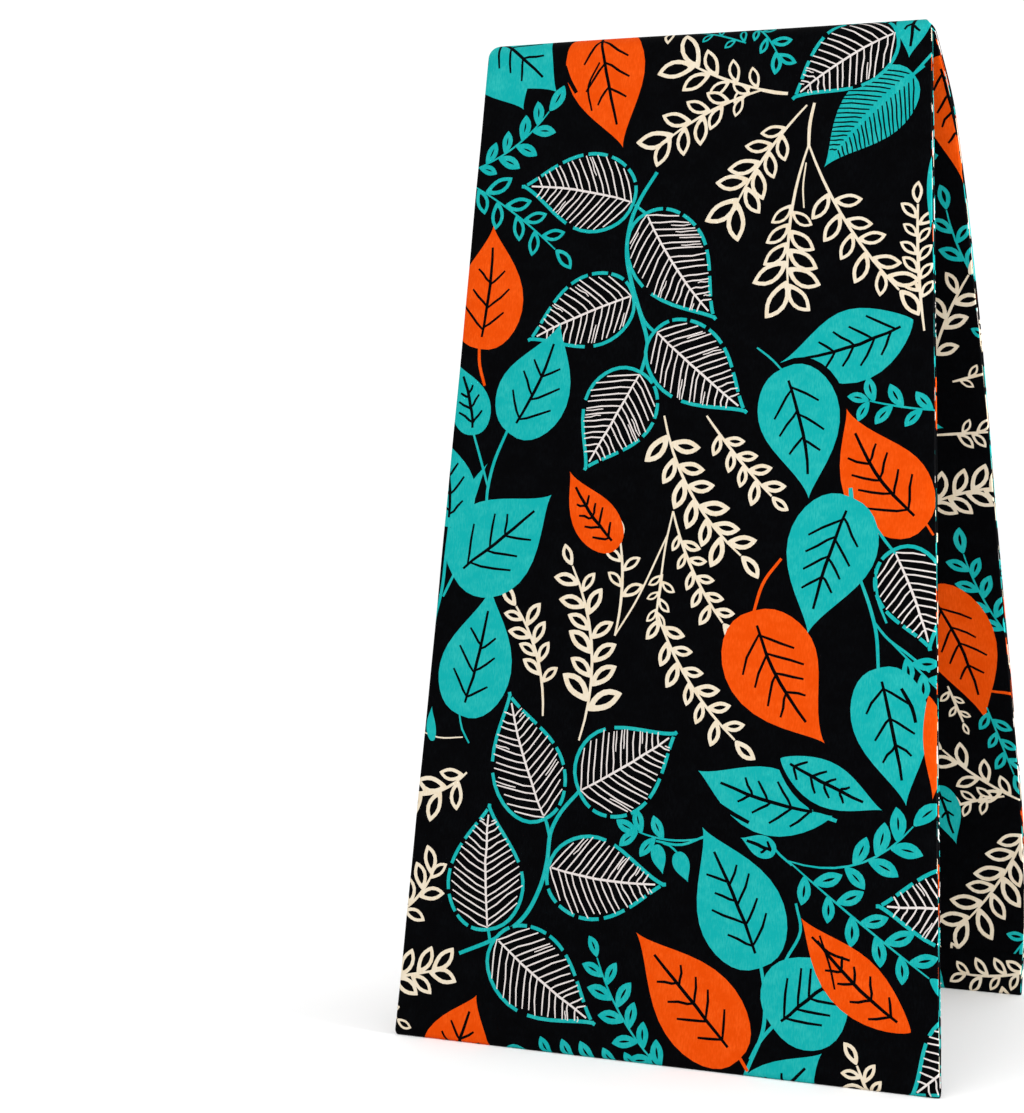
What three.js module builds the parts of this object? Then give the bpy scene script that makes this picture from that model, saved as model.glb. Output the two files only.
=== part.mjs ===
// One length of printed cotton, folded flat into a strip of many plies, creased across its middle and stood up
// as an inverted V. Millimetres, +Z up: the ridge runs along X, and the front fall faces -Y. The origin lies on
// the floor, under the middle of the whole.
import * as THREE from "three";

// The standing strip.
const RIDGE_HEIGHT = 550; // the crest of the ridge, at its middle
const RIDGE_SLOPE = 4; // the crest's left end lies this much higher, and its right end this much lower
const FRONT_FOOT_Y = -96; // the outer face of each fall at the floor, seen from the ridge's own line
const BACK_FOOT_Y = 138;
const RIDGE_BEND = 5; // the radius of the middle layer over the ridge

// The plies. The wall on each face stands for four plies, and the hidden ones lie between the two walls.
const STACK = 6.4; // the whole strip, pressed
const WALL = 1.2;
const SEAM = 0.3; // between one stretch and the next, and between a wall and the hidden plies
const CORE = STACK - 2 * WALL - 2 * SEAM;

// The two side edges of the strip, in X, and how far a fall bows outwards, in sections from the ridge (along 0)
// to the foot (along 1).
const FRONT_SECTIONS = [
  { along: 0.0, left: -133, right: 123, bow: 0 },
  { along: 0.5, left: -140.5, right: 136, bow: -1 },
  { along: 1.0, left: -149, right: 149, bow: 0 },
];
const BACK_SECTIONS = [
  { along: 0.0, left: -133, right: 123, bow: 0 },
  { along: 0.08, left: -134, right: 131, bow: 1 },
  { along: 0.3, left: -138, right: 138, bow: 9 },
  { along: 0.55, left: -143, right: 143, bow: 15 },
  { along: 0.8, left: -149, right: 149, bow: 17 },
  { along: 0.92, left: -151, right: 150, bow: 11 },
  { along: 1.0, left: -152, right: 148, bow: 0 },
];

// The folds that the strip stands on. Each turns round the plies' lower edge and runs up inside the V.
const FOOT_RISE = 2.8; // from the floor to the middle of the turn, a little less than its radius, so it sits flat
const FOOT_OUTSIDE = 12; // how far the fold reaches up the outer face
const FRONT_FOOT_INSIDE = 12; // and up the inner face
const BACK_FOOT_INSIDE = 21;
const BACK_FOOT_SWELL = 1.6; // how far the turned-up cloth swells at the back foot

// The side edges of the hidden plies: the folds that show there, and how far each stands out.
const RIGHT_FOLDS = 4;
const LEFT_FOLDS = 2;
const FOLD_DEPTH = 0.8;

// How finely the shapes are divided.
const FALL_STEPS = 16;
const FOOT_STEPS = 7;
const RIDGE_STEPS = 12;
const ACROSS_STEPS = 6;
const TURN_STEPS = 10;
const FOLD_STEPS = 5;

// The middle of the box round the whole strip, seen from the ridge's own line.
const MIDDLE_X = -1;
const MIDDLE_Y = 21.3;

// A value of a table's column at a place down the fall: a smooth curve through the rows, level past its ends.
function fromSections(rows, column, along) {
  const place = THREE.MathUtils.clamp(along, 0, 1);
  const next = Math.max(rows.findIndex((row) => row.along >= place), 1);
  const slope = (k) => {
    const before = rows[Math.max(k - 1, 0)];
    const after = rows[Math.min(k + 1, rows.length - 1)];
    return (after[column] - before[column]) / (after.along - before.along);
  };
  const [above, below] = [rows[next - 1], rows[next]];
  const span = below.along - above.along;
  const u = (place - above.along) / span;
  const ease = u * u * (3 - 2 * u);
  const start = (u ** 3 - 2 * u ** 2 + u) * span * slope(next - 1);
  const end = (u ** 3 - u ** 2) * span * slope(next);
  return above[column] + ease * (below[column] - above[column]) + start + end;
}

// One fall of the strip: the straight line from the foot's turn that just touches the ridge's bend. side is -1
// for the front fall and 1 for the back one. down and out are its directions in the YZ plane, as [y, z].
function makeFall(side, footY, sections) {
  const bend = [0, RIDGE_HEIGHT - RIDGE_BEND - STACK / 2];
  const foot = [footY - (side * STACK) / 2, FOOT_RISE];
  const reach = Math.hypot(foot[0] - bend[0], foot[1] - bend[1]);
  const toFoot = [(foot[0] - bend[0]) / reach, (foot[1] - bend[1]) / reach];
  const outward = [-side * toFoot[1], side * toFoot[0]];
  const turn = Math.asin(RIDGE_BEND / reach);
  const mix = (a, b, p, q) => [a * p[0] + b * q[0], a * p[1] + b * q[1]];
  const out = mix(Math.cos(turn), Math.sin(turn), outward, toFoot);
  const down = mix(Math.cos(turn), -Math.sin(turn), toFoot, outward);
  return { side, bend, sections, out, down, length: reach * Math.cos(turn) };
}

const frontFall = makeFall(-1, FRONT_FOOT_Y, FRONT_SECTIONS);
const backFall = makeFall(1, BACK_FOOT_Y, BACK_SECTIONS);

// The middle layer at a place down a fall, and the way out of its face there, with the fall's bow.
function onFall(fall, along) {
  const { bend, out, down, length, sections } = fall;
  const bowAt = (a) => fromSections(sections, "bow", a);
  const bow = RIDGE_BEND + bowAt(along);
  const lean = (bowAt(along + 0.01) - bowAt(along - 0.01)) / (0.02 * length);
  const size = Math.hypot(1, lean);
  return {
    y: bend[0] + out[0] * bow + down[0] * along * length,
    z: bend[1] + out[1] * bow + down[1] * along * length,
    outY: (out[0] - lean * down[0]) / size,
    outZ: (out[1] - lean * down[1]) / size,
    left: fromSections(sections, "left", along),
    right: fromSections(sections, "right", along),
  };
}

// Stations down a fall, from one distance below the ridge's bend to another. Every layer has its stations at
// the same places, closer together over the foot, so that the layers stay parallel.
function fallStations(fall, from, to) {
  const evenEnd = fall.length - BACK_FOOT_INSIDE;
  const places = [];
  for (let i = 0; i < FALL_STEPS; i++) {
    places.push((evenEnd * i) / FALL_STEPS);
  }
  for (let i = 0; i <= FOOT_STEPS; i++) {
    places.push(evenEnd + (BACK_FOOT_INSIDE * i) / FOOT_STEPS);
  }
  const within = places.filter((place) => place > from + SEAM && place < to - SEAM);
  return [from, ...within, to].map((place) => onFall(fall, place / fall.length));
}

// Stations round the ridge's bend, from the front fall to the back one.
function ridgeStations() {
  const start = Math.atan2(frontFall.out[1], frontFall.out[0]);
  const end = Math.atan2(backFall.out[1], backFall.out[0]);
  const list = [];
  for (let i = 0; i <= RIDGE_STEPS; i++) {
    const angle = THREE.MathUtils.lerp(start, end, i / RIDGE_STEPS);
    const [outY, outZ] = [Math.cos(angle), Math.sin(angle)];
    list.push({
      y: frontFall.bend[0] + RIDGE_BEND * outY,
      z: frontFall.bend[1] + RIDGE_BEND * outZ,
      outY,
      outZ,
      left: FRONT_SECTIONS[0].left,
      right: FRONT_SECTIONS[0].right,
    });
  }
  return list;
}

// Stations of a foot's fold, whose wall runs down the outer face, round the plies' lower edge and up inside.
function footStations(fall, inside, swell) {
  const radius = (STACK - WALL) / 2;
  const moved = (station, outwards, facing) => ({
    ...station,
    y: station.y + station.outY * outwards,
    z: station.z + station.outZ * outwards,
    outY: station.outY * facing,
    outZ: station.outZ * facing,
  });
  const outerLeg = fallStations(fall, fall.length - FOOT_OUTSIDE, fall.length).map((station) =>
    moved(station, radius, 1),
  );
  const innerLeg = fallStations(fall, fall.length - inside, fall.length).map((station, i, all) =>
    moved(station, -radius - swell * Math.sin((Math.PI * i) / (all.length - 1)) ** 2, -1),
  );
  const turn = [];
  for (let i = 1; i < TURN_STEPS; i++) {
    turn.push(belowFoot(fall, radius, (Math.PI * i) / TURN_STEPS));
  }
  return [...outerLeg, ...turn, ...innerLeg.reverse()];
}

// A station on the half circle under a fall's end, turned from the outer face (0) to the inner one (PI).
function belowFoot(fall, radius, turn) {
  const foot = onFall(fall, 1);
  const outY = foot.outY * Math.cos(turn) + fall.side * foot.outZ * Math.sin(turn);
  const outZ = foot.outZ * Math.cos(turn) - fall.side * foot.outY * Math.sin(turn);
  return { ...foot, y: foot.y + radius * outY, z: foot.z + radius * outZ, outY, outZ };
}

// A point of the strip: at a station, across from the left edge (0) to the right one (1), and outwards from the
// middle layer. The floor stops it.
function pointAt(station, across, outwards) {
  const x = THREE.MathUtils.lerp(station.left, station.right, across);
  const z = station.z + station.outZ * outwards;
  const slope = (RIDGE_SLOPE * (1 - 2 * across) * z) / RIDGE_HEIGHT;
  return new THREE.Vector3(
    x - MIDDLE_X,
    station.y + station.outY * outwards - MIDDLE_Y,
    Math.max(z + slope, 0),
  );
}

// A closed solid from rings of points, one ring for each station, with a flat cap on each end.
function solidFromRings(rings, capTriangles) {
  const size = rings[0].length;
  const positions = rings.flat().flatMap((p) => [p.x, p.y, p.z]);
  const index = [];
  for (let i = 0; i + 1 < rings.length; i++) {
    for (let j = 0; j < size; j++) {
      const [a, b] = [i * size + j, i * size + ((j + 1) % size)];
      index.push(a, b + size, b, a, a + size, b + size);
    }
  }
  const end = (rings.length - 1) * size;
  for (const [a, b, c] of capTriangles) {
    index.push(a, b, c, end + a, end + c, end + b);
  }
  const geometry = new THREE.BufferGeometry();
  geometry.setAttribute("position", new THREE.Float32BufferAttribute(positions, 3));
  geometry.setIndex(index);
  geometry.computeVertexNormals();
  return geometry;
}

// A solid whose section across the strip is a closed outline of { across, aside, outwards } points, where aside
// is a distance past the edge. scale shrinks the section's thickness at each station.
function sweep(stations, outline, scale = () => 1) {
  const flat = outline.map((o) => new THREE.Vector2(o.across * 100 + o.aside, o.outwards));
  const caps = THREE.ShapeUtils.triangulateShape(flat, []);
  const rings = stations.map((station, i) =>
    outline.map((o) => {
      const point = pointAt(station, o.across, o.outwards * scale(i));
      point.x += o.aside;
      return point;
    }),
  );
  return solidFromRings(rings, caps);
}

// The section of a plain wall between two distances from the middle layer, square at its edges.
function wallOutline(low, high) {
  const list = [];
  for (let j = 0; j <= ACROSS_STEPS; j++) {
    list.push({ across: j / ACROSS_STEPS, aside: 0, outwards: low });
  }
  for (let j = ACROSS_STEPS; j >= 0; j--) {
    list.push({ across: j / ACROSS_STEPS, aside: 0, outwards: high });
  }
  return list;
}

// The section of the hidden plies: its two side edges are stacks of half-round folds.
function pliesOutline() {
  const list = [];
  const edge = (across, side, folds) => {
    const half = CORE / folds / 2;
    for (let k = 0; k < folds; k++) {
      const middle = side * (-CORE / 2 + half * (2 * k + 1));
      for (let i = k === 0 ? 0 : 1; i <= FOLD_STEPS; i++) {
        const turn = (Math.PI * i) / FOLD_STEPS;
        list.push({
          across,
          aside: side * (FOLD_DEPTH * Math.sin(turn) - FOLD_DEPTH),
          outwards: middle - side * half * Math.cos(turn),
        });
      }
    }
  };
  const face = (from, to, outwards) => {
    for (let j = 1; j < ACROSS_STEPS; j++) {
      list.push({ across: THREE.MathUtils.lerp(from, to, j / ACROSS_STEPS), aside: 0, outwards });
    }
  };
  face(0, 1, -CORE / 2);
  edge(1, 1, RIGHT_FOLDS);
  face(1, 0, CORE / 2);
  edge(0, -1, LEFT_FOLDS);
  return list;
}

// A little rounding that closes the hidden plies inside a foot's fold: stations past the fall's end.
function roundedEnd(fall) {
  const foot = onFall(fall, 1);
  const [downY, downZ] = [fall.side * foot.outZ, -fall.side * foot.outY];
  return [0.35, 0.7, 1.05, 1.3].map((turn) => ({
    ...foot,
    y: foot.y + (downY * CORE * Math.sin(turn)) / 2,
    z: foot.z + (downZ * CORE * Math.sin(turn)) / 2,
    thinness: Math.cos(turn),
  }));
}

// The colours and finish of the printed cotton: a near-black ground, and teal for the insides of the V so that
// the stretches can be told apart.
function cotton(colour) {
  return new THREE.MeshStandardMaterial({ color: colour, roughness: 0.7, metalness: 0 });
}

const cloth = new THREE.Group();

function addStretch(name, geometry, colour) {
  const mesh = new THREE.Mesh(geometry, cotton(colour));
  mesh.name = name;
  cloth.add(mesh);
}

const GROUND_BLACK = 0x0a0a0c;
const LEAF_TEAL = 0x1fb5ad;
const LEAF_ORANGE = 0xff5a14;
const SPRIG_CREAM = 0xf6e3c5;

const outerWall = wallOutline(STACK / 2 - WALL, STACK / 2);
const innerWall = wallOutline(-STACK / 2, -STACK / 2 + WALL);
const footWall = wallOutline(-WALL / 2, WALL / 2);

// The plies that show on the outside: down the front, over the ridge and down the back.
const frontOuter = fallStations(frontFall, SEAM, frontFall.length - FOOT_OUTSIDE - SEAM);
const backOuter = fallStations(backFall, SEAM, backFall.length - FOOT_OUTSIDE - SEAM);
addStretch("front_fall_outer", sweep(frontOuter.reverse(), outerWall), GROUND_BLACK);
addStretch("back_fall_outer", sweep(backOuter, outerWall), GROUND_BLACK);
const overRidge = ridgeStations();
addStretch("ridge_outer", sweep(overRidge, outerWall), GROUND_BLACK);

// The plies on the inside of the V.
const frontInner = fallStations(frontFall, SEAM, frontFall.length - FRONT_FOOT_INSIDE - SEAM);
const backInner = fallStations(backFall, SEAM, backFall.length - BACK_FOOT_INSIDE - SEAM);
addStretch("front_fall_inner", sweep(frontInner.reverse(), innerWall), LEAF_TEAL);
addStretch("back_fall_inner", sweep(backInner, innerWall), LEAF_TEAL);
addStretch("ridge_inner", sweep(overRidge, innerWall), LEAF_TEAL);

// The folds that the strip stands on.
const frontFoot = footStations(frontFall, FRONT_FOOT_INSIDE, 0);
const backFoot = footStations(backFall, BACK_FOOT_INSIDE, BACK_FOOT_SWELL);
addStretch("front_foot_fold", sweep(frontFoot.reverse(), footWall), LEAF_ORANGE);
addStretch("back_foot_fold", sweep(backFoot, footWall), LEAF_ORANGE);

// The hidden plies, one rounded solid from the front foot over the ridge to the back foot.
const hidden = [
  ...roundedEnd(frontFall).reverse(),
  ...fallStations(frontFall, 0, frontFall.length).reverse(),
  ...overRidge.slice(1, -1),
  ...fallStations(backFall, 0, backFall.length),
  ...roundedEnd(backFall),
];
const hiddenPlies = sweep(hidden, pliesOutline(), (i) => hidden[i].thinness ?? 1);
addStretch("hidden_plies", hiddenPlies, SPRIG_CREAM);

export default cloth;
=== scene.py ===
from collections import namedtuple

import bpy
import numpy as np
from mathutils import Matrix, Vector
from mathutils.geometry import delaunay_2d_cdt


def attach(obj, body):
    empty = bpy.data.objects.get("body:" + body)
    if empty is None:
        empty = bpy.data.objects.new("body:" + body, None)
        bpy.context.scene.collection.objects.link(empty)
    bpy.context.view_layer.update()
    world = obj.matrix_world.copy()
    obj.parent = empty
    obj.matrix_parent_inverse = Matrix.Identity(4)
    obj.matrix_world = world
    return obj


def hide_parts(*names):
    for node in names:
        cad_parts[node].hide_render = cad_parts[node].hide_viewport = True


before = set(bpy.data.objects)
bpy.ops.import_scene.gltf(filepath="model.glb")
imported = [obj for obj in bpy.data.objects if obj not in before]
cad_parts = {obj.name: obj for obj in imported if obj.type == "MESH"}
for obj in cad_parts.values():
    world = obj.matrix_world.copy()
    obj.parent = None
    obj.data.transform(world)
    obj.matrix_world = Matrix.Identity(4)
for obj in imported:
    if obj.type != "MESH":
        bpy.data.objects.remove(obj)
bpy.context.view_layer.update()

# Floor, light and camera
# The strip stands on a white studio floor that runs out of sight, in a white room, under a large softbox high
# at the front. A smaller one fills the open right side. The camera stands right of the front and looks a
# little down.
CAMERA_PLACE = (0.3594, -1.0985, 0.2902)
CAMERA_TURN = (88.5, 0.0, 24.0)  # degrees about X, Y and Z
CAMERA_LENS = 65.7
FLOOR_SIZE = 60.0
FLOOR_WHITE = "#f9f9f9"
ROOM_LIGHT = 1.07
SOFTBOX_PLACE = (-0.9, -1.7, 2.6)
SOFTBOX_SIZE = 2.2
SOFTBOX_POWER = 15.0
SOFTBOX_AIM = (0, 0, 0.25)
FILL_PLACE = (1.7, -0.25, 0.24)
FILL_SIZE = 0.45
FILL_POWER = 38.0
FILL_AIM = (0.1, 0.05, 0.25)


def linear(colour):
    """An sRGB hex colour as linear RGBA: each channel c is c / 12.92 below 0.04045, and otherwise
    ((c + 0.055) / 1.055) to the power 2.4."""
    c = np.array([int(colour[i : i + 2], 16) for i in (1, 3, 5)]) / 255
    return (*np.where(c <= 0.04045, c / 12.92, ((c + 0.055) / 1.055) ** 2.4).tolist(), 1.0)


def add_node(tree, kind, inputs=(), **settings):
    """Adds a shader node with its settings. inputs is a dict: a socket's name or number, and its value or the
    socket that feeds it."""
    made = tree.nodes.new("ShaderNode" + kind)
    for name, value in settings.items():
        setattr(made, name, value)
    for key, value in dict(inputs).items():
        if isinstance(value, bpy.types.NodeSocket):
            tree.links.new(value, made.inputs[key])
        else:
            made.inputs[key].default_value = value
    return made


def mesh_object(name, points, faces, smooth=True):
    """A mesh object at the origin from arrays of points and faces."""
    mesh = bpy.data.meshes.new(name)
    mesh.from_pydata(points.tolist(), [], faces.tolist())
    mesh.shade_smooth() if smooth else mesh.shade_flat()
    made = bpy.data.objects.new(name, mesh)
    bpy.context.scene.collection.objects.link(made)
    return made


corners = np.array([[-1, -1, 0], [1, -1, 0], [1, 1, 0], [-1, 1, 0]]) * FLOOR_SIZE / 2
floor = mesh_object("floor", corners, np.array([[0, 1, 2, 3]]), smooth=False)
floor_paint = bpy.data.materials.new("matt_white_studio_paint")
floor_paint.use_nodes = True
floor_shader = floor_paint.node_tree.nodes["Principled BSDF"]
floor_shader.inputs["Base Color"].default_value = linear(FLOOR_WHITE)
floor_shader.inputs["Roughness"].default_value = 1.0
floor_shader.inputs["Specular IOR Level"].default_value = 0.0
floor.data.materials.append(floor_paint)

room = bpy.data.worlds.new("white_room")
room.use_nodes = True
room.node_tree.nodes["Background"].inputs["Color"].default_value = (1, 1, 1, 1)
room.node_tree.nodes["Background"].inputs["Strength"].default_value = ROOM_LIGHT
bpy.context.scene.world = room


def area_light(name, place, size, power, aim):
    """A square light at a place, of a size and a power, turned to what it lights."""
    light = bpy.data.objects.new(name, bpy.data.lights.new(name, "AREA"))
    light.data.size = size
    light.data.energy = power
    light.location = place
    light.rotation_euler = (Vector(place) - Vector(aim)).to_track_quat("Z", "Y").to_euler()
    bpy.context.scene.collection.objects.link(light)


area_light("softbox", SOFTBOX_PLACE, SOFTBOX_SIZE, SOFTBOX_POWER, SOFTBOX_AIM)
area_light("fill", FILL_PLACE, FILL_SIZE, FILL_POWER, FILL_AIM)

camera = bpy.data.objects.new("camera", bpy.data.cameras.new("camera"))
camera.location = CAMERA_PLACE
camera.rotation_euler = np.radians(CAMERA_TURN)
camera.data.lens = CAMERA_LENS
bpy.context.scene.collection.objects.link(camera)
bpy.context.scene.camera = camera
bpy.context.scene.view_settings.view_transform = "Standard"

# The outer ply of the standing strip
# One stretch of printed cotton that comes out from under the front foot, runs up the front, over the ridge
# and down the back, and turns under the back foot. It is plain-woven, printed on both faces, folded and
# pressed.
MM = 0.001
RIDGE_HEIGHT = 550
RIDGE_SLOPE = 4  # the crest's left end lies this much higher, and its right end this much lower
FRONT_FOOT_Y = -96
BACK_FOOT_Y = 138
RIDGE_BEND = 5
FOOT_RISE = 2.8
STACK = 6.4  # the whole strip, pressed
FACE = STACK / 2  # from the strip's middle layer to its face
MIDDLE_X = -1
MIDDLE_Y = 21.3
FRONT_SECTIONS = {
    "along": [0, 0.5, 1],
    "left": [-133, -140.5, -149],
    "right": [123, 136, 149],
    "bow": [0, -1, 0],
}
BACK_SECTIONS = {
    "along": [0, 0.08, 0.3, 0.55, 0.8, 0.92, 1],
    "left": [-133, -134, -138, -143, -149, -151, -152],
    "right": [123, 131, 138, 143, 149, 150, 148],
    "bow": [0, 1, 9, 15, 17, 11, 0],
}
FRONT_TUCK = 12  # how far the cloth comes up inside the front foot
BACK_TUCK = 21  # and inside the back foot, where it swells a little
BACK_TUCK_SWELL = 1.6
RIGHT_FOLD = 0.6  # the radius of the ply's fold at its right edge
LEFT_FOLD = 1.6
FOLD_RETURN = 6  # how far the ply runs back in behind each fold
CLOTH = 0.3  # the cloth's own thickness
CORNER = 5  # how round the strip's corners are at the two ends of the crest


def from_sections(table, column, along):
    """A smooth curve through a table's rows: between two rows a cubic with the rows' slopes. A row's slope is
    the rise between its neighbours over their distance."""
    place, value = np.array(table["along"], float), np.array(table[column], float)
    u = np.clip(along, 0, 1)
    k = np.maximum(np.searchsorted(place, u), 1)
    rows = np.arange(len(place))
    before, after = np.maximum(rows - 1, 0), np.minimum(rows + 1, len(place) - 1)
    slope = (value[after] - value[before]) / (place[after] - place[before])
    span = place[k] - place[k - 1]
    t = (u - place[k - 1]) / span
    ease = t * t * (3 - 2 * t)
    bends = (t**3 - 2 * t**2 + t) * slope[k - 1] + (t**3 - t**2) * slope[k]
    return value[k - 1] + ease * (value[k] - value[k - 1]) + span * bends


def make_fall(side, foot_y, sections):
    """One fall of the strip: the straight line from the foot's turn that just touches the ridge's bend."""
    bend = np.array([0, RIDGE_HEIGHT - RIDGE_BEND - FACE])
    to_foot = np.array([foot_y - side * FACE, FOOT_RISE]) - bend
    reach = np.hypot(*to_foot)
    to_foot /= reach
    outward = side * np.array([-to_foot[1], to_foot[0]])
    turn = np.arcsin(RIDGE_BEND / reach)
    out = np.cos(turn) * outward + np.sin(turn) * to_foot
    down = np.cos(turn) * to_foot - np.sin(turn) * outward
    Fall = namedtuple("Fall", "side bend out down length sections")
    return Fall(side, bend, out, down, reach * np.cos(turn), sections)


def on_fall(fall, along):
    """The middle layer at a share of the way down a fall, and the way out of its face there: the straight
    line, moved out by the bow, with the face leaning by the bow's slope."""
    step = 0.01
    above, below = (from_sections(fall.sections, "bow", along + move) for move in (-step, step))
    lean = (below - above)[:, None] / (2 * step * fall.length)
    bow = RIDGE_BEND + from_sections(fall.sections, "bow", along)[:, None]
    centre = fall.bend + fall.out * bow + fall.down * fall.length * along[:, None]
    return centre, (fall.out - lean * fall.down) / np.hypot(1, lean)


front_fall = make_fall(-1, FRONT_FOOT_Y, FRONT_SECTIONS)
back_fall = make_fall(1, BACK_FOOT_Y, BACK_SECTIONS)
FRONT_ANGLE = np.arctan2(front_fall.out[1], front_fall.out[0])
BACK_ANGLE = np.arctan2(back_fall.out[1], back_fall.out[0])


def lengths_round(depth):
    """Where each stretch of the way round the strip ends, in mm from the crest, for a layer this far from
    the middle one: down the front, round its foot, up inside, under the ridge, down inside, round the back
    foot, up the back and over the ridge. A bend's length is its angle times its radius."""
    stretches = [
        (RIDGE_BEND + depth) * (FRONT_ANGLE - np.pi / 2),
        front_fall.length,
        np.pi * depth,
        front_fall.length,
        (RIDGE_BEND - depth) * (FRONT_ANGLE - BACK_ANGLE),
        back_fall.length,
        np.pi * depth,
        back_fall.length,
        (RIDGE_BEND + depth) * (np.pi / 2 - BACK_ANGLE),
    ]
    return np.cumsum(stretches)


def way_round(travel, depth):
    """The middle layer's place in the YZ plane, the way out of the visible face and the strip's two side
    edges, for each distance travelled from the crest down the front and on round the strip. The edges turn
    in by a quarter circle up to the crest."""
    ends = lengths_round(depth)
    travel = travel % ends[-1]
    stretch = np.searchsorted(ends, travel, side="right")
    gone = travel - np.concatenate([[0], ends])[stretch]
    centre, out = np.zeros((2, len(travel), 2))
    left, right = np.zeros((2, len(travel)))
    for k in range(len(ends)):
        here = stretch == k
        g = gone[here]
        if k in (0, 4, 8):
            radius = RIDGE_BEND - depth if k == 4 else RIDGE_BEND + depth
            start = {0: np.pi / 2, 4: FRONT_ANGLE, 8: BACK_ANGLE}[k]
            angle = start + (-1 if k == 4 else 1) * g / radius
            way = np.stack([np.cos(angle), np.sin(angle)], 1)
            centre[here] = front_fall.bend + RIDGE_BEND * way
            out[here] = -way if k == 4 else way
            along, sections = np.zeros(len(g)), FRONT_SECTIONS
        else:
            fall = front_fall if k < 4 else back_fall
            downward = k in (1, 5)
            along = g / fall.length if downward else 1 - g / fall.length
            sections = fall.sections
            if k in (2, 6):
                along = np.ones(len(g))
                centre[here], face = on_fall(fall, along)
                turn = (g / depth if k == 2 else np.pi - g / depth)[:, None]
                below = fall.side * face[:, ::-1] * [1, -1]
                out[here] = face * np.cos(turn) + below * np.sin(turn)
            else:
                centre[here], face = on_fall(fall, along)
                out[here] = face if k in (1, 7) else -face
        left[here] = from_sections(sections, "left", along)
        right[here] = from_sections(sections, "right", along)
    up = np.clip(centre[:, 1] - (RIDGE_HEIGHT - FACE - CORNER), 0, CORNER)
    recede = CORNER - np.sqrt(CORNER**2 - up**2)
    return centre, out, left + recede, right - recede


def round_edges(x, left, right, depth, fold_left, fold_right, inset):
    """The ply's section across: flat, and past each side edge a half circle inwards and then straight back. A
    layer inset below the face is lower by that, and its half circles are that much smaller."""
    past = np.maximum(x - (right - fold_right), 0)
    turn = np.minimum(past / fold_right, np.pi)
    back = np.maximum(past - np.pi * fold_right, 0)
    x_folded = np.minimum(x, right - fold_right) + (fold_right - inset) * np.sin(turn) - back
    depth = depth - fold_right + (fold_right - inset) * np.cos(turn)
    past = np.maximum(left + fold_left - x, 0)
    turn = np.minimum(past / fold_left, np.pi)
    back = np.maximum(past - np.pi * fold_left, 0)
    x_left = left + fold_left - (fold_left - inset) * np.sin(turn) + back
    return np.where(past > 0, x_left, x_folded), depth - (fold_left - inset) * (1 - np.cos(turn))


def in_the_row(x, depth, centre, out, left, right):
    """Points in metres: out from the middle layer by depth, higher at the left by the ridge's slope, and
    stopped by the floor."""
    z = centre[:, 1] + out[:, 1] * depth
    slope = RIDGE_SLOPE * (1 - 2 * (x - left) / (right - left)) * z / RIDGE_HEIGHT
    y = centre[:, 0] + out[:, 0] * depth
    return np.stack([x - MIDDLE_X, y - MIDDLE_Y, np.maximum(z + slope, 0)], 1) * MM


# The print: a near-black ground, strewn with leaves and sprigs in teal, orange and cream, and leaves drawn as
# a teal line with white veins. Every motif is drawn by a few strokes and almonds from its foot and its tip.
BLACK, TEAL, ORANGE, CREAM, WHITE = range(5)
SOLID_RIB = 1.9  # the widths of the drawn lines in mm: a solid leaf's midrib and veins
SOLID_VEIN = 1.5
OUTLINE = 1.95  # a veined leaf's outline, midrib, veins and doubled veins
WHITE_RIB = 1.25
WHITE_VEIN = 0.85
SECOND_VEIN = 0.65
COMB_RIB = 1.8  # a feathery leaf's midrib and cuts
COMB_CUT = 0.95
CREAM_STEM = 1.6
TEAL_STEM = 1.1
hand = np.random.default_rng(41)  # the small unevenness of drawing by hand


def along_curve(x, y, tip_x, tip_y, bend, u):
    """Points and sideways directions at shares u of the way from a foot to a tip, along an arc that swings
    out sideways by bend times the length."""
    foot, tip = np.array([x, y], float), np.array([tip_x, tip_y], float)
    ahead = tip - foot
    side = np.array([-ahead[1], ahead[0]])
    points = foot + np.outer(u, ahead) + np.outer(4 * u * (1 - u) * bend, side)
    way = ahead + np.outer(4 * (1 - 2 * u) * bend, side)
    way /= np.linalg.norm(way, axis=1)[:, None]
    return points, way[:, ::-1] * [-1, 1]


def stroke(points, width, blunt=0.45):
    """A drawn line through points: half its width to each side, thinner towards both ends."""
    way = np.gradient(points, axis=0)
    way /= np.linalg.norm(way, axis=1)[:, None]
    swell = blunt + (1 - blunt) * np.sin(np.linspace(0.12, 0.88, len(points)) * np.pi)
    offset = way[:, ::-1] * [-1, 1] * (width / 2 * swell)[:, None]
    return np.concatenate([points + offset, (points - offset)[::-1]])


def leaf_half(u):
    """A leaf's half width at shares of its length, 1 at the widest place: a sine over the length drawn
    towards the foot, to a power that grows along it, so the foot is round and the tip is drawn out."""
    return np.sin(np.pi * np.clip(u, 0, 1) ** 0.67) ** (0.62 + 0.68 * u)


def leaflet_half(u):
    """A leaflet's half width: a sine over its length, to a power that makes it plump. It is widest just past
    its middle."""
    return np.sin(np.pi * np.clip(u, 0, 1) ** 1.08) ** (0.62 + 0.25 * u)


def almond(x, y, tip_x, tip_y, wide, bend=0.0, steps=7, low=0.0, high=1.0, half_width=leaf_half):
    """An outline from low to high on the way from a foot to a tip. wide is the width over the length."""
    u = low + (high - low) * (1 - np.cos(np.linspace(0, np.pi, steps + 1))) / 2
    points, side = along_curve(x, y, tip_x, tip_y, bend, u)
    half = half_width((u - low) / (high - low)) * wide * np.hypot(tip_x - x, tip_y - y) / 2
    left, right = points + side * half[:, None], points - side * half[:, None]
    return np.concatenate([left, right[-2:0:-1]])


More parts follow.
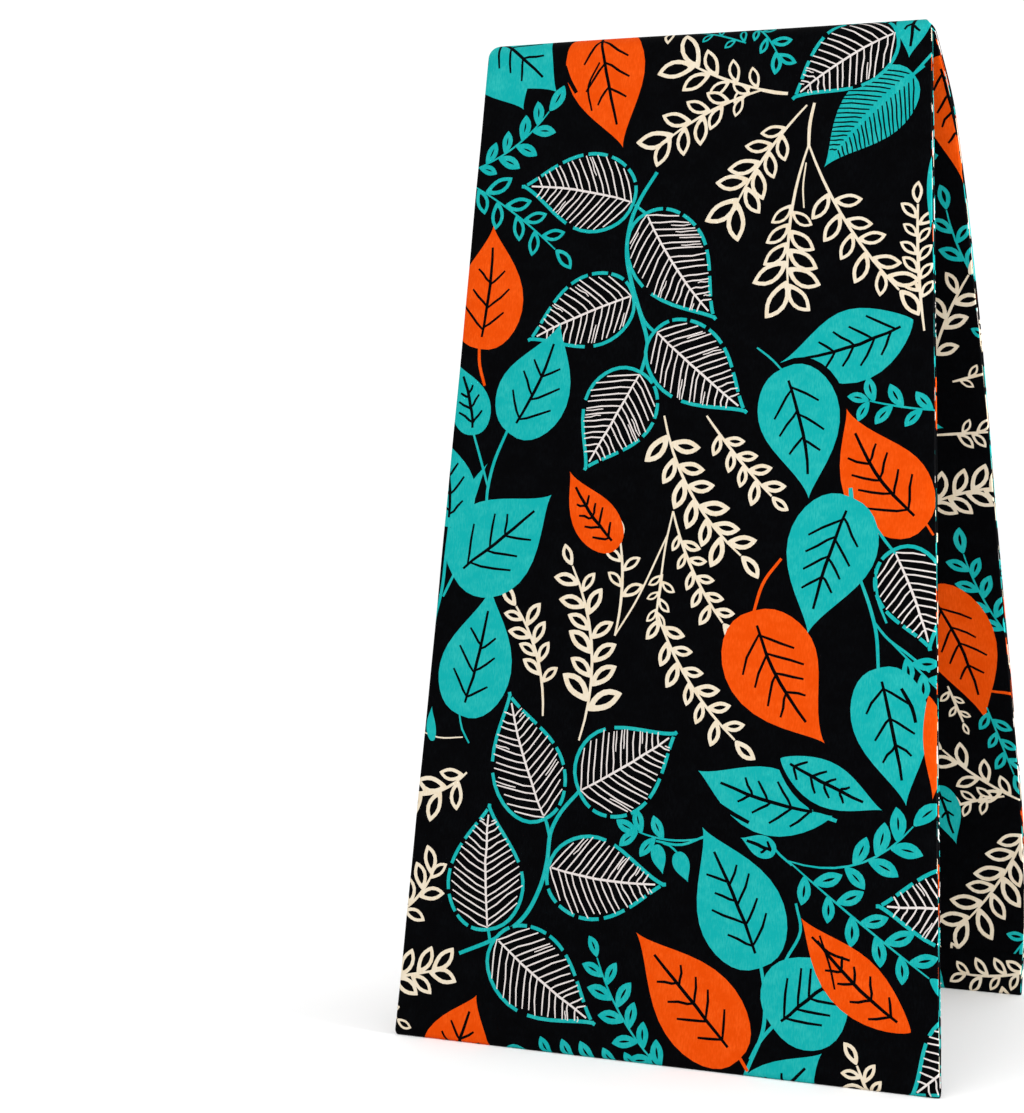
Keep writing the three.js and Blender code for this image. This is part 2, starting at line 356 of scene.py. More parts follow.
def blade_half(u):
    """A blade's half width: pointed at both ends, and widest a little before its middle."""
    return np.sin(np.pi * np.clip(u, 0, 1) ** 0.88) ** (0.9 + 0.35 * u)


def vein(row, start, reach, width, lean, inner=0.0, tremble=0.22):
    """One side vein: from the midrib at start, or from an inner share of the way out, to reach times the
    leaf's half width where it ends. It leans to the tip by lean times as far as it goes out, and trembles a
    little. How far ahead it ends is found by going there, taking the half width and going again."""
    length = np.hypot(row.tip_x - row.x, row.tip_y - row.y)
    ahead = 0.04
    for _ in range(4):
        half = leaf_half(np.array([start + ahead]))[0] * row.wide * length / 2
        ahead = min(lean * half * abs(reach) / length, 0.96 - start)
    gone = inner + (1 - inner) * np.array([0, 0.28, 0.62, 1])
    u = start + ahead * gone**1.12
    out = reach * half * gone
    points, side = along_curve(row.x, row.y, row.tip_x, row.tip_y, row.bend, u)
    points = points + side * out[:, None]
    points[1:] += hand.normal(0, tremble, (3, 2))
    return stroke(points, width, blunt=0.6)


def solid_leaf(row):
    """A leaf or blade in one dye with a black midrib and a few pairs of black veins that stop short of its
    edge."""
    half_width = blade_half if isinstance(row, Blade) else leaf_half
    shapes = [(row.dye, almond(*row[1:7], steps=18, half_width=half_width))]
    if row.pairs:
        rib, _ = along_curve(row.x, row.y, row.tip_x, row.tip_y, row.bend, np.linspace(0.1, 0.82, 8))
        shapes.append((BLACK, stroke(rib + hand.normal(0, 0.15, rib.shape), SOLID_RIB, blunt=0.6)))
    for k in range(row.pairs):
        for side in (-1, 1):
            start = 0.15 + 0.58 * (k + hand.uniform(-0.1, 0.16)) / row.pairs
            shapes.append((BLACK, vein(row, start, side * hand.uniform(0.46, 0.68), SOLID_VEIN, 0.95)))
    return shapes


def outline_dashes(row, side, dashes, gap):
    """One side of a leaf's outline as a line from foot to tip, broken into dashes with short gaps."""
    length = np.hypot(row.tip_x - row.x, row.tip_y - row.y)
    shapes = []
    for k in range(dashes):
        low = (k + gap) / dashes if k else 0
        high = (k + 1 - gap) / dashes if k < dashes - 1 else 1
        u = (1 - np.cos(np.linspace(low, high, 3 + 14 // dashes) * np.pi)) / 2 * 0.985
        points, across = along_curve(row.x, row.y, row.tip_x, row.tip_y, row.bend, u)
        points = points + side * across * np.maximum(leaf_half(u) * row.wide * length / 2 - 0.9, 0)[:, None]
        shapes.append((row.dye, stroke(points, OUTLINE, blunt=0.9)))
    return shapes


def veined_leaf(row):
    """A leaf drawn as a line, nearly whole along one side and broken along the other, with a white midrib and
    close white veins on the black ground. Some veins are drawn twice."""
    shapes = [(BLACK, almond(*row[1:7], steps=14))]
    broken = hand.choice([-1, 1])
    shapes += outline_dashes(row, -broken, 2, 0.05) + outline_dashes(row, broken, 8, 0.1)
    rib, _ = along_curve(row.x, row.y, row.tip_x, row.tip_y, row.bend, np.linspace(0.03, 0.9, 8))
    shapes.append((WHITE, stroke(rib + hand.normal(0, 0.12, rib.shape), WHITE_RIB, blunt=0.6)))
    for k in range(row.pairs):
        for side in (-1, 1):
            start = 0.02 + 0.84 * (k + hand.uniform(-0.14, 0.14)) / row.pairs
            reach = side * hand.uniform(0.82, 0.94)
            shapes.append((WHITE, vein(row, start, reach, WHITE_VEIN, 0.62)))
            if hand.random() < 0.15:
                shapes.append((WHITE, vein(row, start + 0.025, reach, SECOND_VEIN, 0.62, inner=0.5)))
    return shapes


def comb_leaf(row):
    """A feathery leaf: full, and cut from near the midrib out past its edge by close black lines."""
    rib, _ = along_curve(row.x, row.y, row.tip_x, row.tip_y, row.bend, np.linspace(-0.1, 0.97, 9))
    shapes = [(row.dye, almond(*row[1:7], steps=16)), (row.dye, stroke(rib, COMB_RIB))]
    for k in range(row.pairs):
        for side in (-1, 1):
            start = 0.01 + 0.86 * k / row.pairs
            reach = side * hand.uniform(0.98, 1.12)
            shapes.append((BLACK, vein(row, start, reach, COMB_CUT, 0.75, inner=0.1)))
    return shapes


def sprig(row):
    """A curved stem with pairs of leaflets that lean to its tip, and last leaflets spread at the tip itself.
    A leaflet is an almond round a dark slit that takes the share slit of its width. bare is the share of the
    stem that has none, leaflet is their mean length in mm, and grow is how much of that they gain towards the
    tip."""
    stem, _ = along_curve(row.x, row.y, row.tip_x, row.tip_y, row.bend, np.linspace(0, 1, 10))
    shapes = [(row.dye, stroke(stem, CREAM_STEM if row.dye == CREAM else TEAL_STEM))]
    for k in range(row.pairs + 1):
        at_tip = k == row.pairs
        leans = (np.arange(row.last) - (row.last - 1) / 2) * 1.15 if at_tip else (-0.88, 0.88)
        for lean in leans:
            at = row.bare + (1 - row.bare) * min((k + 0.18 * np.sign(lean)) / row.pairs, 1)
            point, side = along_curve(row.x, row.y, row.tip_x, row.tip_y, row.bend, np.array([at]))
            ahead = np.array([side[0, 1], -side[0, 0]])
            lean = lean + hand.uniform(-0.2, 0.2)
            way = ahead * np.cos(lean) + side[0] * np.sin(lean)
            long = row.leaflet * (1 + row.grow * (k / row.pairs - 0.5)) * hand.uniform(0.86, 1.1)
            foot = point[0] + way * 0.4
            leaflet = (*foot, *(foot + way * long))
            bend = -0.05 * np.sign(lean)
            shapes.append((row.dye, almond(*leaflet, 0.48, bend, 9, half_width=leaflet_half)))
            hollow = 0.3 + 0.65 * row.slit
            low, high = 0.52 - hollow / 2, 0.52 + hollow / 2
            shapes.append((BLACK, almond(*leaflet, 0.48 * row.slit, bend, 6, low, high, leaflet_half)))
    return shapes


def branch(row):
    """A stem through the points of its route, rounded by a curve whose slope at each is that of its
    neighbours, sampled at every 3 mm or so."""
    route = np.array(row.route, float)
    reach = np.concatenate([[0], np.cumsum(np.linalg.norm(np.diff(route, axis=0), axis=1))])
    at = np.linspace(0, reach[-1], max(int(reach[-1] / 3), 4))
    table = {"along": reach / reach[-1], "x": route[:, 0], "y": route[:, 1]}
    points = np.stack([from_sections(table, column, at / reach[-1]) for column in ("x", "y")], 1)
    return [(row.dye, stroke(points, row.wide, blunt=0.75))]


# The tables of the print. x is across the strip and y up it from the crest, in mm. wide is a leaf's width
# over its length, or a stem's width in mm.
Leaf = namedtuple("Leaf", "dye x y tip_x tip_y wide bend pairs")
Blade = namedtuple("Blade", Leaf._fields)
Veined = namedtuple("Veined", Leaf._fields)
Comb = namedtuple("Comb", Leaf._fields)
Sprig = namedtuple("Sprig", "dye x y tip_x tip_y bend pairs bare leaflet slit grow last")
Branch = namedtuple("Branch", "dye wide route")
DRAWN_BY = {
    Leaf: solid_leaf,
    Blade: solid_leaf,
    Veined: veined_leaf,
    Comb: comb_leaf,
    Sprig: sprig,
    Branch: branch,
}

UPPER_BRANCH = [
    Branch(TEAL, 1.6, ((-37, -102), (-29, -108))),
    Branch(TEAL, 1.9, ((-34, -152), (-28, -167), (-20, -175))),
    Branch(TEAL, 2.3, (
        (-25, -84), (-34, -99), (-39, -113), (-40, -130), (-36, -147), (-30, -164), (-25, -181), (-28, -197)
    )),
    Veined(TEAL, -38, -101, -107, -89, 0.66, -0.04, 14),
    Veined(TEAL, -30, -107, 14, -168, 0.6, -0.04, 14),
    Veined(TEAL, -35, -153, -97, -178, 0.63, -0.02, 13),
    Veined(TEAL, -21, -173, 34, -219, 0.6, -0.01, 14),
    Veined(TEAL, -28, -196, -58, -251, 0.7, 0, 13),
]
LOWER_BRANCH = [
    Branch(TEAL, 1.9, ((-68, -439), (-66, -444), (-64, -451))),
    Branch(TEAL, 1.7, ((-97, -500), (-95, -508))),
    Branch(TEAL, 2.3, (
        (-49, -424), (-59, -436), (-64, -447), (-65, -462), (-68, -476), (-76, -492), (-90, -504),
        (-113, -515),
    )),
    Veined(TEAL, -68, -440, -94, -372, 0.6, 0.03, 14),
    Veined(TEAL, -49, -424, 5, -389, 0.76, -0.02, 13),
    Veined(TEAL, -97, -501, -101, -433, 0.68, 0.03, 14),
    Veined(TEAL, -64, -465, 4, -469, 0.66, -0.04, 14),
    Veined(TEAL, -92, -505, -31, -545, 0.62, -0.02, 14),
]
TOP_SPRAY = [
    Branch(CREAM, 2.0, ((47, -43), (40, -42), (32, -40))),
    Sprig(CREAM, 33, -40, -6, -25, 0.03, 3, 0.12, 16.5, 0.58, 0.5, 2),
    Sprig(CREAM, 33, -40, -18, -64, -0.05, 4, 0.16, 17, 0.56, 0.4, 2),
    Sprig(CREAM, 58, -50, 22, -102, -0.04, 4, 0.28, 18, 0.56, 0.4, 2),
    Branch(CREAM, 1.8, ((62, -49), (60, -61), (60, -74))),
    Sprig(CREAM, 60, -72, 52, -148, -0.05, 4, 0.46, 19, 0.6, 0.35, 2),
    Sprig(CREAM, 60, -72, 112, -153, -0.05, 5, 0.33, 17, 0.54, -0.1, 1),
    Branch(CREAM, 0.9, ((59, -82), (58, -95), (59, -107))),
]
MIDDLE_SPRAY = [
    Sprig(CREAM, -13, -220, 34, -295, -0.085, 6, 0.14, 17, 0.38, -0.1, 1),
    Sprig(CREAM, 11, -220, 49, -263, -0.02, 4, 0.25, 13.5, 0.36, 0, 1),
    Sprig(CREAM, -5, -272, 26, -331, -0.05, 5, 0.22, 11.5, 0.34, 0.1, 1),
    Branch(CREAM, 1.1, ((-5, -272), (-8, -290), (-10, -313), (-11, -328))),
    Sprig(CREAM, -9, -306, -11, -326, 0, 2, 0.1, 9, 0.48, 0, 2),
    Sprig(CREAM, -11, -326, 36, -392, -0.06, 6, 0.08, 14, 0.36, 0.1, 1),
    Branch(CREAM, 1.1, ((-7, -284), (-22, -319), (-34, -340))),
    Sprig(CREAM, -34, -340, -34, -289, -0.05, 2, 0.46, 12.5, 0.5, 0, 1),
    Sprig(CREAM, -51, -397, -61, -303, -0.1, 6, 0.19, 16.5, 0.42, -0.4, 1),
    Sprig(CREAM, -73, -385, -93, -326, -0.08, 4, 0.31, 13.5, 0.4, 0, 1),
]
FRONT_LEAVES = [
    Leaf(TEAL, -133, 0, -108, -44, 0.8, 0, 0),
    Leaf(TEAL, -145, 12, -88, -35, 0.74, 0.03, 4),
    Leaf(ORANGE, -65, 6, -46, -69, 0.61, -0.02, 3),
    Branch(BLACK, 2.6, ((-84, -20), (-81, -28), (-76, -36))),
    Branch(BLACK, 1.3, ((-63, -19), (-69, -33), (-66, -47))),
    Comb(TEAL, 115, -36, 69, -85, 0.54, -0.04, 19),
    Branch(TEAL, 1.6, ((128, -21), (121, -29), (114, -37))),
    Veined(TEAL, 105, -12, 49, -47, 0.6, -0.05, 13),
    Leaf(TEAL, 115, 8, 112, -27, 0.56, 0, 2),
    Leaf(TEAL, 128, -80, 127, -122, 0.16, 0, 0),
    Leaf(ORANGE, -126, -182, -122, -111, 0.62, -0.03, 3),
    Branch(ORANGE, 1.8, ((-126, -180), (-125, -191), (-121, -203))),
    Leaf(TEAL, -104, -230, -77, -168, 0.64, -0.05, 3),
    Branch(TEAL, 1.8, ((-105, -228), (-112, -246), (-115, -262), (-115, -272))),
    Leaf(TEAL, -126, -231, -138, -191, 0.58, -0.05, 3),
    Branch(TEAL, 1.4, ((-126, -230), (-120, -246), (-115, -260))),
    Leaf(TEAL, -138, -283, -145, -232, 0.62, -0.05, 3),
    Branch(TEAL, 1.8, ((-137, -280), (-138, -300), (-139, -318), (-143, -338))),
    Leaf(TEAL, -128, -277, -116, -247, 0.2, 0.06, 0),
    Branch(TEAL, 1.6, ((-132, -309), (-138, -322))),
    Leaf(TEAL, -133, -310, -76, -264, 0.74, -0.02, 3),
    Leaf(TEAL, -123, -387, -109, -316, 0.6, -0.04, 3),
    Branch(TEAL, 1.1, ((-123, -386), (-121, -394), (-116, -402))),
    Blade(TEAL, 120, -169, 50, -191, 0.54, 0.05, 4),
    Leaf(BLACK, 51, -191, 69, -266, 0.67, 0.05, 0),
    Leaf(TEAL, 52, -194, 69, -264, 0.61, 0.05, 3),
    Branch(TEAL, 1.1, ((37, -183), (45, -189), (52, -196))),
    Leaf(ORANGE, 131, -277, 87, -216, 0.58, 0.08, 4),
    Branch(ORANGE, 1.2, ((131, -276), (135, -282))),
    Leaf(TEAL, 92, -263, 72, -335, 0.64, -0.03, 4),
    Branch(TEAL, 2.4, ((92, -266), (91, -258))),
    Leaf(ORANGE, -35, -292, -66, -251, 0.5, 0.06, 4),
    Branch(ORANGE, 1.7, ((56, -296), (47, -309), (42, -327))),
    Leaf(ORANGE, 42, -324, 84, -391, 0.64, -0.07, 4),
    Branch(TEAL, 1.8, ((98, -305), (104, -320), (108, -334), (110, -354))),
    Branch(TEAL, 1.4, ((106, -327), (114, -336), (124, -343), (136, -352))),
    Leaf(TEAL, 110, -351, 127, -420, 0.56, 0.01, 3),
    Branch(BLACK, 2.0, ((122, -361), (128, -371), (130, -378))),
    Veined(TEAL, 115, -290, 136, -342, 0.66, 0.03, 11),
    Branch(TEAL, 1.5, ((105, -278), (110, -285), (116, -292))),
    Branch(TEAL, 1.3, ((106, -300), (108, -316), (113, -328))),
    Blade(TEAL, 90, -427, 17, -409, 0.46, 0.05, 4),
    Blade(BLACK, 59, -400, 117, -424, 0.46, -0.02, 0),
    Blade(TEAL, 61, -400, 115, -423, 0.39, -0.02, 4),
    Branch(TEAL, 2.2, ((79, -427), (85, -428), (92, -430))),
    Branch(BLACK, 2.2, ((28, -425), (37, -430), (46, -434))),
    Leaf(TEAL, 61, -448, 42, -442, 0.58, 0, 1),
    Branch(TEAL, 1.3, ((24, -442), (10, -448), (-4, -447))),
    Leaf(TEAL, 56, -507, 21, -438, 0.6, -0.02, 4),
    Branch(TEAL, 2.0, ((56, -505), (59, -520), (59, -538), (53, -555), (48, -568))),
    Leaf(TEAL, 64, -536, 106, -499, 0.86, 0, 4),
    Branch(TEAL, 1.9, ((66, -533), (58, -543), (53, -553))),
    Branch(TEAL, 1.5, ((73, -473), (76, -487), (69, -502), (66, -512))),
    Blade(ORANGE, 134, -531, 76, -480, 0.37, 0.05, 4),
    Branch(BLACK, 1.5, ((82, -489), (91, -496), (102, -499))),
    Branch(BLACK, 1.2, ((86, -488), (92, -503), (95, -514))),
    Leaf(ORANGE, 47, -554, -12, -495, 0.53, 0, 4),
    Branch(ORANGE, 1.7, ((47, -552), (52, -559))),
    Leaf(TEAL, 52, -596, 90, -546, 0.64, 0.04, 3),
    Leaf(ORANGE, -114, -588, -101, -536, 0.78, 0.04, 3),
    Blade(ORANGE, 136, -364, 140, -416, 0.24, 0.05, 0),
    Veined(TEAL, 178, -468, 113, -471, 0.66, 0, 13),
    Veined(TEAL, 170, -522, 134, -563, 0.66, 0.05, 10),
]
FRONT_SPRIGS = [
    Sprig(TEAL, -137, -78, -92, -46, -0.08, 4, 0.1, 14.5, 0.14, 0.1, 1),
    Sprig(TEAL, -137, -87, -83, -126, 0.03, 4, 0.1, 16, 0.5, -0.1, 1),
    Sprig(TEAL, 26, -2, 40, -20, 0.05, 2, 0.15, 11, 0.35, 0.3, 2),
    Sprig(TEAL, 22, -13, -8, -2, 0, 2, 0.1, 8, 0.5, 0, 1),
    Sprig(CREAM, -4, 26, -22, 1, 0, 2, 0.1, 13, 0.5, 0, 2),
    Sprig(CREAM, 126, -175, 120, -107, 0.02, 5, 0.28, 12, 0.5, -0.1, 1),
    Sprig(TEAL, 134, -217, 99, -212, 0.02, 2, 0.12, 13.5, 0.18, 0, 3),
    Sprig(TEAL, 116, -338, 142, -362, 0, 2, 0.35, 14, 0.24, 0, 1),
    Sprig(TEAL, 24, -443, -14, -443, 0.08, 1, 0.68, 13, 0.14, 0, 3),
    Branch(TEAL, 1.1, ((0, -448), (4, -449), (9, -453))),
    Leaf(TEAL, 8, -452, 15, -467, 0.55, 0, 0),
    Leaf(TEAL, -4, -449, 1, -464, 0.5, 0, 0),
    Sprig(TEAL, 68, -452, 131, -430, -0.16, 3, 0.44, 16, 0.14, 0, 1),
    Branch(TEAL, 1.2, ((58, -443), (62, -448), (70, -454))),
    Sprig(TEAL, 68, -452, 142, -504, -0.01, 5, 0.15, 15, 0.2, -0.1, 1),
    Sprig(TEAL, 8, -565, -33, -510, 0.07, 5, 0.08, 14.5, 0.18, -0.2, 1),
    Sprig(TEAL, 10, -567, -70, -563, 0, 6, 0.08, 13, 0.18, 0, 1),
    Sprig(CREAM, -116, -418, -152, -432, 0.12, 3, 0.1, 18, 0.5, 0.1, 1),
    Branch(CREAM, 0.8, ((-146, -397), (-134, -400), (-120, -399))),
    Leaf(TEAL, -138, -402, -140, -383, 0.3, 0.05, 0),
    Sprig(CREAM, -152, -497, -133, -475, -0.08, 2, 0.2, 15, 0.5, 0, 2),
    Sprig(CREAM, -154, -532, -129, -526, 0, 2, 0.15, 17, 0.5, 0.1, 2),
    Sprig(CREAM, -160, -545, -148, -553, 0, 1, 0.2, 9, 0.5, 0, 1),
    Sprig(CREAM, 118, -572, 108, -550, 0, 2, 0.35, 12, 0.36, 0, 1),
]
front_print = FRONT_SPRIGS + TOP_SPRAY + MIDDLE_SPRAY + UPPER_BRANCH + LOWER_BRANCH + FRONT_LEAVES

# The rest of the cloth is strewn with the branches and sprays of the front, and then with these leaves and
# sprigs, largest first.
ONE_BY_ONE = [
    [Leaf(ORANGE, 0, 0, 0, 72, 0.62, 0.05, 4), Branch(ORANGE, 1.7, ((0, 2), (-1, -10), (4, -22)))],
    [Leaf(TEAL, 0, 0, 0, 68, 0.64, -0.06, 3), Branch(TEAL, 1.8, ((0, 2), (1, -12), (-5, -26)))],
    [Sprig(CREAM, 0, 0, 0, 84, 0.06, 5, 0.2, 16, 0.42, 0, 1)],
    [Sprig(TEAL, 0, 0, 0, 60, -0.06, 4, 0.15, 14, 0.3, 0, 1)],
    [Comb(TEAL, 0, 0, 0, 62, 0.54, 0.05, 17)],
    [Leaf(ORANGE, 0, 0, 0, 56, 0.52, -0.04, 4)],
    [Leaf(TEAL, 0, 0, 0, 50, 0.6, 0.06, 3)],
    [Sprig(CREAM, 0, 0, 0, 52, -0.08, 3, 0.2, 14, 0.44, 0.2, 2)],
    [Sprig(TEAL, 0, 0, 0, 40, 0.06, 3, 0.15, 12, 0.46, 0, 1)],
    [Sprig(CREAM, 0, 0, 0, 30, 0.06, 2, 0.2, 12, 0.44, 0, 1)],
    [Sprig(TEAL, 0, 0, 0, 20, 0.05, 1, 0.3, 11, 0.3, 0, 3)],
]
Lot = namedtuple("Lot", "group count tries")


def ends_of(row):
    """The points that place a motif: its foot and its tip, or its route."""
    return np.array(row.route if isinstance(row, Branch) else [(row.x, row.y), (row.tip_x, row.tip_y)], float)


def moved(rows, turn, x, y):
    """A group of motifs turned about its own middle by an angle and set down with that middle at a place."""
    middle = np.concatenate([ends_of(row) for row in rows]).mean(0)
    c, s = np.cos(turn), np.sin(turn)
    placed = []
    for row in rows:
        ends = (ends_of(row) - middle) @ np.array([[c, s], [-s, c]]) + (x, y)
        if isinstance(row, Branch):
            placed.append(row._replace(route=ends))
        else:
            placed.append(row._replace(x=ends[0, 0], y=ends[0, 1], tip_x=ends[1, 0], tip_y=ends[1, 1]))
    return placed


def footprint(rows):
    """Circles that cover a group's leaves and sprigs: x, y and radius, five along each."""
    circles = []
    for row in rows:
        if isinstance(row, Branch):
            continue
        u = np.array([0.1, 0.3, 0.5, 0.7, 0.9])
        points, _ = along_curve(row.x, row.y, row.tip_x, row.tip_y, row.bend, u)
        if isinstance(row, Sprig):
            radius = np.where(u > row.bare, 0.8 * row.leaflet, 1.0)
        else:
            radius = leaf_half(u) * row.wide * np.hypot(row.tip_x - row.x, row.tip_y - row.y) / 2
        circles.append(np.column_stack([points, radius]))
    return np.concatenate(circles)


def strew(chance, lots, low, high, taken):
    """Groups set down one by one at random places and turns between two corners, each only where its circles
    stay clear of all that lie there already. taken holds those circles and grows."""
    rows = []
    for lot in lots:
        for _ in range(lot.count):
            for _ in range(lot.tries):
                place = chance.uniform(low, high)
                group = moved(lot.group, chance.uniform(0, 2 * np.pi), *place)
                circles = footprint(group)
                apart = np.linalg.norm(circles[:, None, :2] - taken[None, :, :2], axis=2)
                if (apart > circles[:, None, 2] + taken[None, :, 2] + 1.5).all():
                    taken = np.concatenate([taken, circles])
                    rows += group
                    break
    return rows, taken


def draw(rows):
    """All the shapes of a list of motifs, in the order they are printed in: pairs of dye and outline."""
    return [shape for row in rows for shape in DRAWN_BY[type(row)](row)]


EDGE_STEPS = 8  # how finely the cloth is divided round a side fold
RETURN_STEPS = 2
GRID = 6.0  # and, in mm, on the falls and on the bends
BEND_STEP = 1.1


def rows_along(start, end, depth):
    """Places along the way round the strip, GRID apart on the falls, closer on their short ends and BEND_STEP
    apart on the bends. Also which of them lie on a bend."""
    ends = lengths_round(depth)
    stops = np.concatenate([[-ends[-1]], ends - ends[-1], ends])
    rows, bent = [start], [False]
    for k, (low, high) in enumerate(zip(stops[:-1], stops[1:])):
        low, high = max(low, start), min(high, end)
        if low < high:
            on_bend = k % len(ends) % 2 == 0
            step = BEND_STEP if on_bend else min(GRID, (high - low) / 8)
            count = int(np.ceil((high - low) / step))
            rows += list(np.linspace(low, high, count + 1)[1:])
            bent[-1] |= on_bend
            bent += [on_bend] * count
    return np.array(rows), np.array(bent)


def places_across(left, right, fold_left, fold_right):
    """Places across the flat cloth, one line for each row: close together round each edge's fold and on its
    way back in, and even between them."""
    arc = np.linspace(0, np.pi, EDGE_STEPS + 1)
    home = np.linspace(0, FOLD_RETURN, RETURN_STEPS + 1)[1:]
    past_right = np.concatenate([arc * fold_right, np.pi * fold_right + home])
    past_left = np.concatenate([arc * fold_left, np.pi * fold_left + home])[::-1]
    start, end = (left + fold_left)[:, None], (right - fold_right)[:, None]
    share = np.linspace(0, 1, int((right - left).mean() / GRID))[1:-1]
    return np.hstack([start - past_left, start + share * (end - start), end + past_right])


def kept_edges(number, bent, folded):
    """The edges that a map keeps, from its grid of point numbers: along the outer columns, where the cloth
    folds round, and along the rows on a bend."""
    columns = number[:, np.r_[0:folded, number.shape[1] - folded : number.shape[1]]]
    return np.concatenate([
        np.stack([columns[:-1], columns[1:]], -1).reshape(-1, 2),
        np.stack([number[bent, :-1], number[bent, 1:]], -1).reshape(-1, 2),
    ])


def divide(points, edges, loops):
    """Triangles between points that keep the edges and follow the loops, inside the first loop. Gives the
    points, the triangles and the number of the last loop round each."""
    places = [Vector(p) for p in points.tolist()]
    flat, _, triangles, _, _, inside = delaunay_2d_cdt(places, edges.tolist(), loops, 0, 1e-4, True)
    kept = [k for k, around in enumerate(inside) if 0 in around]
    top = np.array([max(inside[k]) for k in kept])
    used, triangles = np.unique(np.array(triangles)[kept], return_inverse=True)
    return np.array([tuple(p) for p in flat])[used], triangles.reshape(-1, 3), top


def border_of(flat, triangles):
    """A map's border points in order round its middle: the ends of the edges that only one triangle has."""
    sides = np.sort(triangles[:, [0, 1, 1, 2, 2, 0]].reshape(-1, 2), 1)
    pairs, uses = np.unique(sides, axis=0, return_counts=True)
    border = np.unique(pairs[uses == 1])
    around = flat[border] - (flat.min(0) + flat.max(0)) / 2
    return border[np.argsort(np.arctan2(around[:, 1], around[:, 0]))]


def printed_map(across, up, bent, shapes):
    """The flat cloth divided into triangles, across having a line of places for each row and up the rows' own
    places. The face is divided along the print's outlines, and each triangle has the dye of the last shape
    printed there. The back has the same border points and is plain. Gives both as points and triangles."""
    count, width = across.shape
    number = np.arange(count * width).reshape(count, width)
    points = np.column_stack([across.ravel(), np.repeat(up, width)])
    border = np.concatenate([number[0], number[1:, -1], number[-1, -2::-1], number[-2:0:-1, 0]])
    low, high = points.min(0), points.max(0)
    shapes = [s for s in shapes if (s[1].max(0) > low).all() and (s[1].min(0) < high).all()]
    loops, outlines, start = [border.tolist()], [], len(points)
    for _, outline in shapes:
        ahead = np.roll(outline, -1, 0)
        area = (outline[:, 0] * ahead[:, 1] - outline[:, 1] * ahead[:, 0]).sum()
        outlines.append(outline if area > 0 else outline[::-1])
        loops.append(list(range(start, start + len(outline))))
        start += len(outline)
    folded = EDGE_STEPS + RETURN_STEPS + 1
    face, face_triangles, top = divide(
        np.concatenate([points, *outlines]), kept_edges(number, bent, folded), loops
    )
    dyes = np.array([BLACK] + [s[0] for s in shapes])[top]
    border = border_of(face, face_triangles)
    within = number[1:-1, 1:-1]
    within_number = len(border) + np.arange(within.size).reshape(within.shape)
    back, back_triangles, _ = divide(
        np.concatenate([face[border], points[within.ravel()]]),
        kept_edges(within_number, bent[1:-1], folded - 1),
        [list(range(len(border)))],
    )
    return face, face_triangles, dyes, back, back_triangles


# Metres on the cloth. The real yarns are 0.3 mm apart, too fine to show, so they are drawn wider.
YARN = 0.0008
SLUB = 0.0035  # how far a fleck runs along its yarn
BLOTCH = 0.011  # how wide the patches are where the dye lies thin
WAVE_REPEAT = np.pi / 10  # how far apart the bands of a wave texture lie at scale 1


def printed_cotton(name, dye, worn, share):
    """A plain weave of fine cotton yarn, printed through and calendered: matt, with a faint satin bloom and
    dye that lies a little unevenly. worn is its tone where it lies thin, and share how far it goes to it."""
    paint = bpy.data.materials.new(name)
    paint.use_nodes = True
    tree = paint.node_tree
    shader = tree.nodes["Principled BSDF"]
    place = add_node(tree, "UVMap", uv_map="cloth").outputs["UV"]
    patches = {"Vector": place, "Scale": 1 / BLOTCH, "Detail": 4.0, "Roughness": 0.65}
    blotch = add_node(tree, "TexNoise", patches)
    yarn = add_node(tree, "Mapping", {"Vector": place, "Scale": (1 / YARN, 1 / SLUB, 1)})
    fleck = add_node(tree, "TexNoise", {"Vector": yarn.outputs[0], "Scale": 1.0, "Detail": 2.0})
    both = add_node(tree, "Math", {0: blotch.outputs[0], 1: fleck.outputs[0]}, operation="MULTIPLY")
    fade = add_node(
        tree, "MapRange", {"Value": both.outputs[0], "From Min": 0.2, "From Max": 0.42, "To Max": share}
    )
    colour = add_node(
        tree, "Mix", {0: fade.outputs[0], 6: linear(dye), 7: linear(worn)}, data_type="RGBA"
    )
    rows = {"Vector": place, "Scale": WAVE_REPEAT / YARN, "Distortion": 0.6, "Detail": 1.0}
    warp = add_node(tree, "TexWave", rows, bands_direction="X")
    weft = add_node(tree, "TexWave", rows, bands_direction="Y")
    height = add_node(tree, "Math", {0: warp.outputs["Fac"], 1: weft.outputs["Fac"]}, operation="ADD")
    bump = add_node(tree, "Bump", {"Height": height.outputs[0], "Strength": 0.25, "Distance": 0.00004})
    tree.links.new(colour.outputs[2], shader.inputs["Base Color"])
    tree.links.new(bump.outputs[0], shader.inputs["Normal"])
    shader.inputs["Roughness"].default_value = 0.62
    shader.inputs["Specular IOR Level"].default_value = 0.015
    shader.inputs["Sheen Weight"].default_value = 0.003
    shader.inputs["Sheen Roughness"].default_value = 0.4
    return paint


# The black ground, the two bright dyes, and the cream and white that wax kept free of them.
dyed_cotton = [
    printed_cotton("cotton_black_ground", "#020203", "#050608", 1.0),
    printed_cotton("cotton_teal_dye", "#0f9b9a", "#34b0aa", 0.6),
    printed_cotton("cotton_orange_dye", "#d24404", "#e65a18", 0.6),
    printed_cotton("cotton_cream_resist", "#d7cbb6", "#cdb691", 0.6),
    printed_cotton("cotton_white_resist", "#d3ccc8", "#c6b7b4", 0.6),
]


